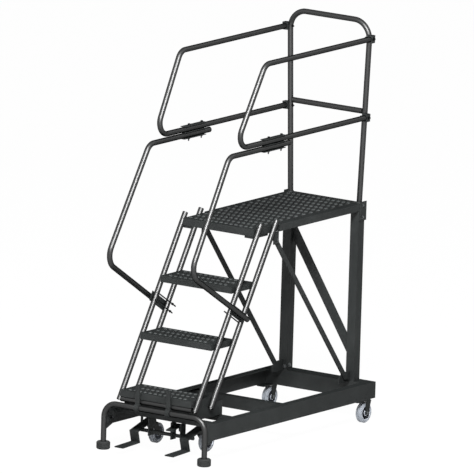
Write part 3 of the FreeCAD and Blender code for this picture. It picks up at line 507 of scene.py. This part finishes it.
def grip_tree():
    """Rows of knobs between rows of hole discs of painted shade, each row shifted by half
    a step.
    """
    tree = bpy.data.node_groups.new("grip_buttons", "GeometryNodeTree")
    face = tree.interface
    for name, kind in (
        ("Columns", "NodeSocketInt"),
        ("Rows", "NodeSocketInt"),
        ("Step", "NodeSocketFloat"),
        ("Row spacing", "NodeSocketFloat"),
        ("Middle", "NodeSocketVector"),
        ("Knob radius", "NodeSocketFloat"),
        ("Knob top", "NodeSocketFloat"),
        ("Knob height", "NodeSocketFloat"),
        ("Hole radius", "NodeSocketFloat"),
        ("Paint", "NodeSocketMaterial"),
        ("Hole", "NodeSocketMaterial"),
    ):
        face.new_socket(name=name, in_out="INPUT", socket_type=kind)
    face.new_socket(name="Geometry", in_out="OUTPUT", socket_type="NodeSocketGeometry")
    given = add_node(tree, "NodeGroupInput").outputs
    columns_less = add_node(
        tree, "ShaderNodeMath", {"operation": "SUBTRACT", 1: 1.0}, {0: given["Columns"]}
    )
    rows_less = add_node(
        tree, "ShaderNodeMath", {"operation": "SUBTRACT", 1: 1.0}, {0: given["Rows"]}
    )
    across = add_node(
        tree,
        "ShaderNodeMath",
        {"operation": "MULTIPLY"},
        {0: columns_less.outputs[0], 1: given["Step"]},
    )
    along = add_node(
        tree,
        "ShaderNodeMath",
        {"operation": "MULTIPLY"},
        {0: rows_less.outputs[0], 1: given["Row spacing"]},
    )
    grid = add_node(
        tree,
        "GeometryNodeMeshGrid",
        {},
        {
            "Size X": across.outputs[0],
            "Size Y": along.outputs[0],
            "Vertices X": given["Columns"],
            "Vertices Y": given["Rows"],
        },
    )
    index = add_node(tree, "GeometryNodeInputIndex")
    parity = add_node(
        tree,
        "ShaderNodeMath",
        {"operation": "FLOORED_MODULO"},
        {0: index.outputs[0], 1: given["Rows"]},
    )
    parity = add_node(
        tree,
        "ShaderNodeMath",
        {"operation": "FLOORED_MODULO", 1: 2.0},
        {0: parity.outputs[0]},
    )
    half = add_node(
        tree,
        "ShaderNodeMath",
        {"operation": "SUBTRACT", 1: 0.5},
        {0: parity.outputs[0]},
    )
    shift = add_node(
        tree,
        "ShaderNodeMath",
        {"operation": "MULTIPLY"},
        {0: half.outputs[0], 1: given["Step"]},
    )
    shift = add_node(
        tree, "ShaderNodeMath", {"operation": "MULTIPLY", 1: 0.5}, {0: shift.outputs[0]}
    )
    sideways = add_node(tree, "ShaderNodeCombineXYZ", {}, {"X": shift.outputs[0]})
    offset = add_node(
        tree,
        "ShaderNodeVectorMath",
        {"operation": "ADD"},
        {0: sideways.outputs[0], 1: given["Middle"]},
    )
    points = add_node(
        tree,
        "GeometryNodeSetPosition",
        {},
        {"Geometry": grid.outputs["Mesh"], "Offset": offset.outputs[0]},
    )
    knob = add_node(
        tree,
        "GeometryNodeMeshCone",
        {"fill_type": "NGON", "Vertices": 12},
        {
            "Radius Bottom": given["Knob radius"],
            "Radius Top": given["Knob top"],
            "Depth": given["Knob height"],
        },
    )
    knob = add_node(
        tree,
        "GeometryNodeSetMaterial",
        {},
        {"Geometry": knob.outputs["Mesh"], "Material": given["Paint"]},
    )
    # Each hole is a flat near-black disc lifted just off the sheet. It is painted shade
    # for the dark inside of a hole, which is not cut.
    hole = add_node(
        tree,
        "GeometryNodeMeshCircle",
        {"fill_type": "NGON", "Vertices": 12},
        {"Radius": given["Hole radius"]},
    )
    hole = add_node(
        tree,
        "GeometryNodeTransform",
        {"Translation": (0, 0, HOLE_LIFT)},
        {"Geometry": hole.outputs[0]},
    )
    hole = add_node(
        tree,
        "GeometryNodeSetMaterial",
        {},
        {"Geometry": hole.outputs[0], "Material": given["Hole"]},
    )
    even = add_node(
        tree,
        "ShaderNodeMath",
        {"operation": "LESS_THAN", 1: 0.5},
        {0: parity.outputs[0]},
    )
    odd = add_node(
        tree,
        "ShaderNodeMath",
        {"operation": "GREATER_THAN", 1: 0.5},
        {0: parity.outputs[0]},
    )
    both = add_node(tree, "GeometryNodeJoinGeometry")
    for shape, chosen in ((knob, even), (hole, odd)):
        copies = add_node(
            tree,
            "GeometryNodeInstanceOnPoints",
            {},
            {
                "Points": points.outputs[0],
                "Instance": shape.outputs[0],
                "Selection": chosen.outputs[0],
            },
        )
        tree.links.new(copies.outputs[0], both.inputs[0])
    real = add_node(
        tree, "GeometryNodeRealizeInstances", {}, {"Geometry": both.outputs[0]}
    )
    add_node(tree, "NodeGroupOutput", {}, {"Geometry": real.outputs[0]})
    return tree


def grown(name, tree, inputs, body):
    """Grow a piece with a tree, keep it as a plain mesh, and hang it on a body."""
    piece = bpy.data.objects.new(name, bpy.data.meshes.new(name))
    scene.collection.objects.link(piece)
    modifier = piece.modifiers.new("growth", "NODES")
    modifier.node_group = tree
    for socket in tree.interface.items_tree:
        if socket.in_out == "INPUT" and socket.name in inputs:
            modifier[socket.identifier] = inputs[socket.name]
    bpy.context.view_layer.update()
    depsgraph = bpy.context.evaluated_depsgraph_get()
    mesh = bpy.data.meshes.new_from_object(piece.evaluated_get(depsgraph))
    piece.modifiers.clear()
    piece.data = mesh
    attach(piece, body)
    return piece


# The near-black of the hole discs is painted shade for the inside of a drain hole. It is
# made with the matt rubber recipe, but it is no rubber.
shadow_hole = moulded_rubber("shadow_inside_a_hole", "#050505", "#080808")
grip = grip_tree()
sockets = grip.interface.items_tree
print("tree inputs:", [s.name for s in sockets if s.in_out == "INPUT"])

# %% [markdown]
# ## The grip on the deck and the steps
# The border of each sheet stays plain for about 20 mm. The number of columns
# and rows is worked out from the size of the sheet, so the grip fits any size.

# %% Grow the grip
PLAIN_BORDER = 20.0
KNOB_RADIUS, KNOB_TOP, KNOB_HEIGHT = 11.0, 6.5, 4.0
HOLE_RADIUS = 9.0


def grip_on(name, low, high):
    """Cover the rectangle from low to high, at the height of high, with grip."""
    width = (high.x - low.x) / MM - 2 * PLAIN_BORDER
    depth = (high.y - low.y) / MM - 2 * PLAIN_BORDER
    columns = int(width / BUTTON_STEP)
    rows = int(depth / BUTTON_ROW) + 1
    middle = (low + high) / 2
    return grown(
        name,
        grip,
        {
            "Columns": columns,
            "Rows": rows,
            "Step": BUTTON_STEP * MM,
            "Row spacing": BUTTON_ROW * MM,
            "Middle": (middle.x, middle.y, high.z),
            "Knob radius": KNOB_RADIUS * MM,
            "Knob top": KNOB_TOP * MM,
            "Knob height": KNOB_HEIGHT * MM,
            "Hole radius": HOLE_RADIUS * MM,
            # The knobs are painted lighter than the sheet. The lighter tone is rubbed
            # paint together with a painted highlight.
            "Paint": knob_wear_and_highlight_coat,
            "Hole": shadow_hole,
        },
        "frame",
    )


for name in ("deck", "tread_1", "tread_2", "tread_3"):
    low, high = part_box(name)
    piece = grip_on(f"{name}_grip", low, high)
    print(piece.name, "faces:", len(piece.data.polygons))

# %% [markdown]
# ## Grey and black fasteners
# Dull zinc-plated bolts hold the posts, braces and wheels; the clamps of the
# rails are held by blackened ones. Zinc is a metal, so metallic is 1 and its colour
# is that of its reflection. A fine noise breaks the plating into soft spangle.

# %% Fastener metal
SPANGLE_WIDTH = 3 * MM


def plated_steel(name, dark, light, roughness):
    """Plated fastener steel with a faint spangle."""
    material, tree = bare_tree(name)
    place = add_node(tree, "ShaderNodeTexCoord").outputs["Object"]
    spangle = noise(tree, place, SPANGLE_WIDTH, 2.0)
    tone = add_node(tree, "ShaderNodeValToRGB", {}, {"Fac": spangle.outputs["Fac"]})
    tone.color_ramp.elements[0].color = linear(dark)
    tone.color_ramp.elements[1].color = linear(light)
    metal = add_node(
        tree,
        "ShaderNodeBsdfPrincipled",
        {"Metallic": 1.0, "Roughness": roughness},
        {"Base Color": tone.outputs["Color"]},
    )
    finish_tree(tree, metal)
    return material


zinc = plated_steel("zinc_plated_bolt_steel", "#4E5051", "#6C6F70", 0.45)
black_bolt = plated_steel("blackened_bolt_steel", "#1C1D1E", "#2A2B2C", 0.45)
print("fasteners:", zinc.name, black_bolt.name)

# %% [markdown]
# ## Turned and folded small pieces
# Bolt heads, nuts, washers, collars and rods are all stacks of rings round an
# axis: six sides give a hexagon, sixteen a washer. Small plates are boxes with
# their outer edges broken, as a sheared plate has after painting. Both are
# added to one mesh for each body, which is then hung on that body.

# %% Small-piece helpers


def turned(mesh, place, axis, profile, sides):
    """Stack rings of (distance, radius), in mm, along an axis and close both ends."""
    along = Vector(axis).normalized()
    side = along.orthogonal().normalized()
    up = along.cross(side)
    rings = []
    for distance, radius in profile:
        ring = []
        for step in range(sides):
            angle = 2 * math.pi * step / sides
            spoke = side * math.cos(angle) + up * math.sin(angle)
            spot = Vector(place) + along * distance + spoke * radius
            ring.append(mesh.verts.new(spot * MM))
        rings.append(ring)
    for low_ring, high_ring in zip(rings, rings[1:]):
        for step in range(sides):
            after = (step + 1) % sides
            mesh.faces.new(
                (low_ring[step], low_ring[after], high_ring[after], high_ring[step])
            )
    mesh.faces.new(list(reversed(rings[0])))
    mesh.faces.new(rings[-1])


def sheared_plate(mesh, low, high, cut=0.8):
    """A small plate whose outer corners are broken by a narrow chamfer, in mm."""
    size = [b - a for a, b in zip(low, high)]
    thin = size.index(min(size))
    one, two = [i for i in range(3) if i != thin]
    rings = []
    for level, inset in ((0, cut), (cut, 0), (size[thin] - cut, 0), (size[thin], cut)):
        ring = []
        for a, b in ((0, 0), (1, 0), (1, 1), (0, 1)):
            spot = [0.0, 0.0, 0.0]
            spot[thin] = low[thin] + level
            spot[one] = low[one] + inset if a == 0 else high[one] - inset
            spot[two] = low[two] + inset if b == 0 else high[two] - inset
            ring.append(mesh.verts.new(Vector(spot) * MM))
        rings.append(ring)
    for low_ring, high_ring in zip(rings, rings[1:]):
        for step in range(4):
            after = (step + 1) % 4
            mesh.faces.new(
                (low_ring[step], low_ring[after], high_ring[after], high_ring[step])
            )
    mesh.faces.new(list(reversed(rings[0])))
    mesh.faces.new(rings[-1])


def bolt_head(mesh, place, axis, flats):
    """A washer and a hexagon head that sit on a face, chamfered on top."""
    turned(mesh, place, axis, [(0, flats * 0.85), (1.6, flats * 0.85)], 14)
    corner = flats / math.sqrt(3)
    turned(
        mesh,
        place,
        axis,
        [(1.6, corner), (1.6 + flats * 0.5, corner), (1.6 + flats * 0.6, corner * 0.8)],
        6,
    )


def nut_and_tail(mesh, place, axis, flats, tail):
    """A nut with the rounded end of the bolt standing out of it."""
    corner = flats / math.sqrt(3)
    turned(mesh, place, axis, [(0, corner), (flats * 0.55, corner)], 6)
    rod = flats * 0.3
    tip = flats * 0.55 + tail
    profile = [(flats * 0.5, rod), (tip - 1, rod), (tip, rod * 0.6)]
    turned(mesh, place, axis, profile, 10)


def hang(mesh, name, body, material):
    """Turn a working mesh into a piece with its finish, and hang it on a body."""
    bmesh.ops.recalc_face_normals(mesh, faces=mesh.faces)
    data = bpy.data.meshes.new(name)
    mesh.to_mesh(data)
    mesh.free()
    data.materials.append(material)
    piece = bpy.data.objects.new(name, data)
    scene.collection.objects.link(piece)
    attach(piece, body)
    print(name, "faces:", len(data.polygons))
    return piece


def box_mm(name):
    """Low and high corner of a solid, in mm."""
    low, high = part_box(name)
    return low / MM, high / MM


SIDES = (("left", -1), ("right", 1))
print("ready to add small pieces")

# %% [markdown]
# ## Bolts of the rail clamps
# Each saddle on a rear post is drawn tight by a bolt across the post, whose end
# shows on the inner side. Each bar clamp that joins the guard rail and the
# stair rail has two upright bolts, heads on top and nuts below.

# %% Rail clamp bolts
CLAMP_FLATS = 11.0
POST_FOOT_HALF = 203.0
POST_SPREAD = 33.0
SADDLE_HALF_HEIGHT = 19.0
EAR_REACH = 31.0
EAR_FRONT_INSIDE, EAR_FRONT_OUTSIDE = 4.0, 9.0
JOINT_BOLT_HALF_GAP, JOINT_BOLT_BACK = 53.0, 15.0
TUBE_RADIUS = (box_mm("rear_mid_rail")[1].z - box_mm("rear_mid_rail")[0].z) / 2

rail_low, rail_high = box_mm("rear_handrail")
deck_low, deck_high = box_mm("deck")
bolts = bmesh.new()
for side, sign in SIDES:
    saddle_low, saddle_high = box_mm(f"{side}_post_clamps")
    post_y = (rail_low.y + rail_high.y) / 2
    lean = POST_SPREAD / (rail_high.z - TUBE_RADIUS - deck_high.z)
    lower_bolt = saddle_low.z + SADDLE_HALF_HEIGHT
    upper_bolt = saddle_high.z - SADDLE_HALF_HEIGHT
    for height in (lower_bolt, upper_bolt):
        post_x = POST_FOOT_HALF + (height - deck_high.z) * lean
        inner_x = sign * (post_x - TUBE_RADIUS + 0.5)
        inner = (inner_x, post_y - EAR_FRONT_INSIDE, height)
        outer = (sign * (post_x + EAR_REACH), post_y - EAR_FRONT_OUTSIDE, height)
        nut_and_tail(bolts, inner, (-sign, 0, 0), CLAMP_FLATS, 6)
        bolt_head(bolts, outer, (sign, 0, 0), CLAMP_FLATS)
    low, high = box_mm(f"{side}_joint_clamp")
    across = (low.x + high.x) / 2
    middle = (low.y + high.y) / 2 + JOINT_BOLT_BACK
    for along in (middle - JOINT_BOLT_HALF_GAP, middle + JOINT_BOLT_HALF_GAP):
        bolt_head(bolts, (across, along, high.z), (0, 0, 1), CLAMP_FLATS)
        nut_and_tail(bolts, (across, along, low.z), (0, 0, -1), CLAMP_FLATS, 9)
hang(bolts, "rail_clamp_bolts", "frame", black_bolt)

# %% [markdown]
# ## Stirrup bolts at the foot of the stair rail
# The stair rail is held to both stringers by long stirrup bolts that run along
# its own slope on the inner side and stand out past the rear stringer. Their
# threaded ends carry nuts.

# %% Stirrup bolts
RAIL_RUN, RAIL_DROP = 482.5, 288.0
STIRRUP_HALF_GAP = 19.0
STIRRUP_START = -70
STIRRUP_ENDS = (112, 104)
STIRRUP_ROD = 3.5
STIRRUP_NUT_AT, STIRRUP_NUT_RADIUS = 78, 6.5
STIRRUP_INSET = 4.5
slope_length = math.hypot(RAIL_RUN, RAIL_DROP)
down_rail = Vector((0, RAIL_RUN / slope_length, -RAIL_DROP / slope_length))
off_rail = Vector((0, RAIL_DROP / slope_length, RAIL_RUN / slope_length))
stirrups = bmesh.new()
for side, sign in SIDES:
    low, high = box_mm(f"{side}_stringer_clamp")
    centre = (low + high) / 2
    front_low, front_high = box_mm(f"{side}_front_stringer")
    inner_face = min(abs(front_low.x), abs(front_high.x))
    centre.x = sign * (inner_face - STIRRUP_INSET)
    for offset, end in zip((STIRRUP_HALF_GAP, -STIRRUP_HALF_GAP), STIRRUP_ENDS):
        middle = centre + off_rail * offset
        place = middle + down_rail * STIRRUP_START
        reach = end - STIRRUP_START
        rod = [(0, 2.2), (2, STIRRUP_ROD), (reach - 2, STIRRUP_ROD), (reach, 2.2)]
        turned(stirrups, place, down_rail, rod, 10)
        nut = middle + down_rail * STIRRUP_NUT_AT
        shape = [(0, STIRRUP_NUT_RADIUS), (6, STIRRUP_NUT_RADIUS)]
        turned(stirrups, nut, down_rail, shape, 6)
hang(stirrups, "stirrup_bolts", "frame", fork_coat)

# %% [markdown]
# ## Plates at the corners of the deck
# The rear corners of the deck are bolted to the posts through a short plate on
# each side. Brackets under the deck's front edge take the stringers and the
# upper ends of the braces. A welded collar closes each hole that a handrail
# post passes through.

# %% Deck plates
CORNER_PLATE_LOW, CORNER_PLATE_HIGH = 988, 1082
CORNER_PLATE_THICKNESS = 4
plates = bmesh.new()
for side, sign in SIDES:
    post_low, post_high = box_mm(f"{side}_rear_post")
    outer = max(abs(post_low.x), abs(post_high.x))
    near, far = sorted((sign * outer, sign * (outer + CORNER_PLATE_THICKNESS)))
    sheared_plate(
        plates,
        (near, post_low.y + 4, CORNER_PLATE_LOW),
        (far, post_high.y + 11, CORNER_PLATE_HIGH),
    )
    front_low, front_high = box_mm(f"{side}_front_stringer")
    inside = min(abs(front_low.x), abs(front_high.x))
    near, far = sorted((sign * (inside - 55), sign * (inside - 1)))
    sheared_plate(
        plates,
        (near, deck_low.y + 3.2, deck_low.z - 11),
        (far, deck_low.y + 8, deck_low.z + 8),
    )
    near, far = sorted((sign * (inside - 8.4), sign * (inside - 3.6)))
    sheared_plate(
        plates,
        (near, deck_low.y + 57, deck_low.z - 11),
        (far, deck_low.y + 127, deck_low.z + 8),
    )
    near, far = sorted((sign * inside, sign * (inside + 5)))
    sheared_plate(
        plates,
        (near, deck_low.y + 166, deck_low.z - 62),
        (far, deck_low.y + 208, deck_low.z - 0.5),
    )
    post_y = (rail_low.y + rail_high.y) / 2
    turned(
        plates,
        (sign * POST_FOOT_HALF, post_y, deck_high.z),
        (0, 0, 1),
        [(0, TUBE_RADIUS + 5), (3, TUBE_RADIUS + 4), (6, TUBE_RADIUS + 0.4)],
        20,
    )
hang(plates, "deck_corner_plates", "frame", plate_coat)

# %% [markdown]
# ## Zinc bolts of the frame
# Two bolts go through each corner plate, one through the head of each brace,
# and two hold the foot of each post. A bolt head also shows on the gusset
# behind each front leg.

# %% Frame bolts
FRAME_FLATS, SMALL_FLATS, GUSSET_FLATS = 13.0, 10.0, 9.0
CORNER_BOLT_HEIGHTS = (1006, 1064)
GUSSET_BOLT_HEIGHT = 147
bolts = bmesh.new()
for side, sign in SIDES:
    post_low, post_high = box_mm(f"{side}_rear_post")
    outer = max(abs(post_low.x), abs(post_high.x))
    inner = min(abs(post_low.x), abs(post_high.x))
    middle = (post_low.y + post_high.y) / 2
    for height in CORNER_BOLT_HEIGHTS:
        place = (sign * (outer + CORNER_PLATE_THICKNESS), middle, height)
        bolt_head(bolts, place, (sign, 0, 0), SMALL_FLATS)
    place = (sign * inner, middle - 6, post_low.z + 24)
    bolt_head(bolts, place, (-sign, 0, 0), FRAME_FLATS)
    place = (sign * (inner + 13), post_low.y, post_low.z + 19)
    bolt_head(bolts, place, (0, -1, 0), FRAME_FLATS)
    front_low, front_high = box_mm(f"{side}_front_stringer")
    inside = min(abs(front_low.x), abs(front_high.x))
    bolt_head(
        bolts,
        (sign * (inside + 5), deck_low.y + 196, deck_low.z - 47),
        (sign, 0, 0),
        SMALL_FLATS,
    )
hang(bolts, "frame_bolts", "frame", zinc)

bolts = bmesh.new()
for side, sign in SIDES:
    low, high = box_mm(f"{side}_front_gusset")
    inner = min(abs(low.x), abs(high.x))
    place = (sign * inner, low.y + 40, GUSSET_BOLT_HEIGHT)
    bolt_head(bolts, place, (-sign, 0, 0), GUSSET_FLATS)
hang(bolts, "gusset_bolts", "frame", black_bolt)

# %% [markdown]
# ## Wheels and axles
# A moulded wheel has a hub that stands a little proud, a dished web and a rim.
# The hub and rim rings turn with the wheel. The axle is a bolt: its head and
# nut stay with the fork.

# %% Hubs and axle bolts
FORK_HALF_WIDTH = 20.5
HUB_RING = [(-1, 15), (1.6, 13.5), (1.6, 8), (-1, 8)]
RIM_RING = [(-1, 37), (0.9, 36), (0.9, 33), (-1, 32)]
for wheel_name in sorted(wheel_names):
    low, high = box_mm(wheel_name)
    axle = (low + high) / 2
    rings = bmesh.new()
    for sign, face in ((-1, low.x), (1, high.x)):
        place = Vector((face, axle.y, axle.z))
        out = (sign, 0, 0)
        turned(rings, place, out, HUB_RING, 24)
        turned(rings, place, out, RIM_RING, 36)
    rubber = wheel_rubbers[wheel_name]
    hang(rings, f"{wheel_name}_rings", wheel_name, rubber)

for fork_name in sorted(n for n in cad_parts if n.endswith("_fork")):
    wheel_low, wheel_high = box_mm(fork_name.replace("_fork", "_wheel"))
    axle = (wheel_low + wheel_high) / 2
    bolt = bmesh.new()
    for sign in (-1, 1):
        place = Vector((axle.x + sign * FORK_HALF_WIDTH, axle.y, axle.z))
        turned(bolt, place, (sign, 0, 0), [(0, 9.5), (1.4, 9.5)], 16)
        turned(bolt, place, (sign, 0, 0), [(1.4, 8.0), (5.4, 8.0), (6.2, 6.6)], 6)
    body = fork_name if fork_name.split("_")[1] == "front" else "frame"
    hang(bolt, f"{fork_name}_axle_bolt", body, zinc)

# %% Sizes and finish
low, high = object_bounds()
print("visual box, m:", [round(v, 4) for v in (*low, *high)])
